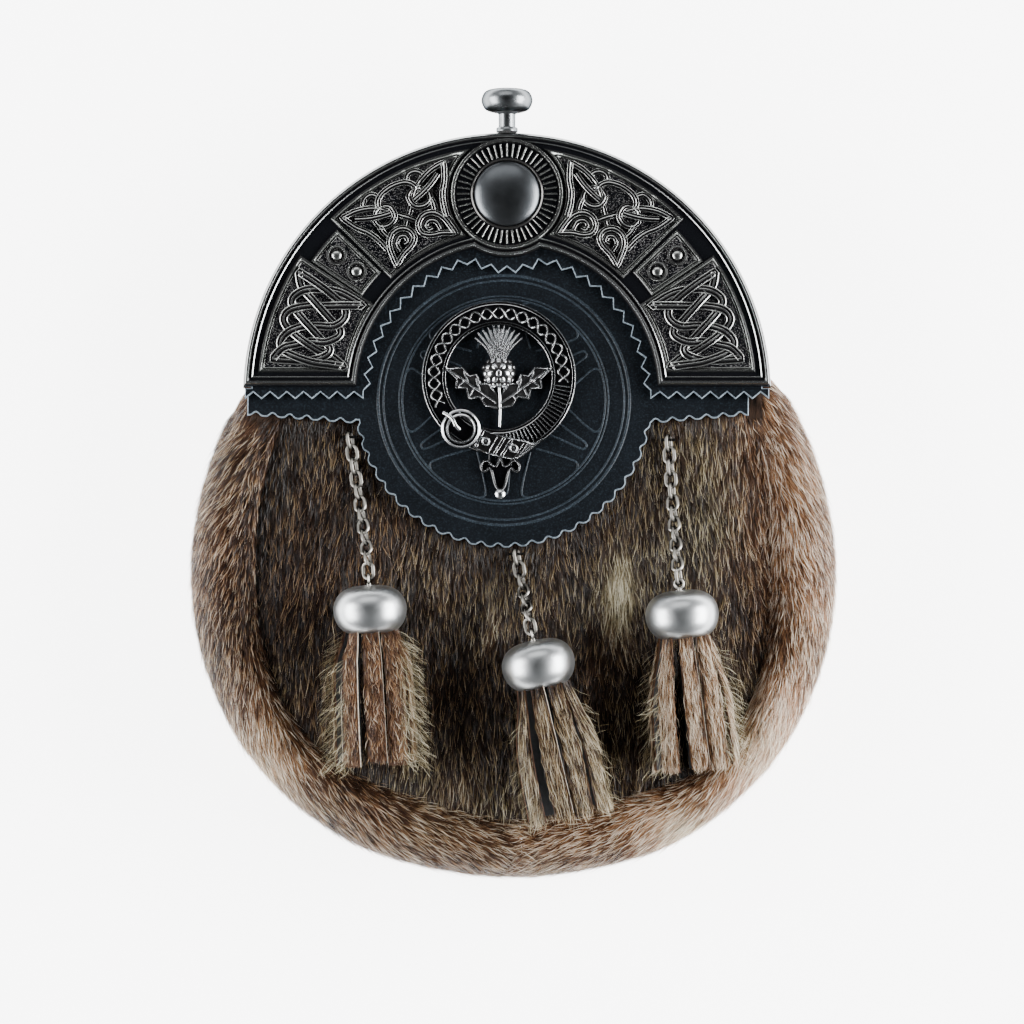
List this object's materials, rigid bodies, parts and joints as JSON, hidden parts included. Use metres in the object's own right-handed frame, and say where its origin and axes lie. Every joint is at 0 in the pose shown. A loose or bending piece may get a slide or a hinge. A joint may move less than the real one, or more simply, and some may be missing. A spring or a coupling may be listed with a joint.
{
  "type": "sporran pouch",
  "caption": "Round hide pouch lying on its back, with a cast knotwork cantle, scalloped leather flap, strap-and-buckle thistle badge, and capped hide tassels on chains.",
  "frame": {"origin": "middle of the outline's box, on the surface that the pouch's back rests on", "axes": "+Z out of the pouch's front, +Y up the pouch towards the knob, +X to the viewer's right"},
  "size_m": [0.1786, 0.2202, 0.0543],
  "materials": {
    "fur_hide": "dense brown fur, laid flat",
    "black_leather": "smooth, semi-gloss",
    "antique_metal": "antiqued casting, bright on its edges",
    "satin_steel": "satin",
    "tassel_hide": "short hair on cut hide"
  },
  "bodies": {
    "root": {"gusset_left": "fur_hide", "gusset_right": "fur_hide", "front_panel": "fur_hide", "back_panel": "black_leather", "belt_loop_left": "black_leather", "belt_loop_right": "black_leather", "cantle": "antique_metal", "cantle_backing": "black_leather", "flap": "black_leather", "badge": "antique_metal", "knob": "satin_steel", "staple_left": "antique_metal", "staple_center": "antique_metal", "staple_right": "antique_metal", "chain_left": "antique_metal", "chain_center": "antique_metal", "chain_right": "antique_metal", "tassel_left_head": "satin_steel", "tassel_center_head": "satin_steel", "tassel_right_head": "satin_steel", "tassel_left_skirt": "tassel_hide", "tassel_center_skirt": "tassel_hide", "tassel_right_skirt": "tassel_hide"}
  },
  "joints": []
}
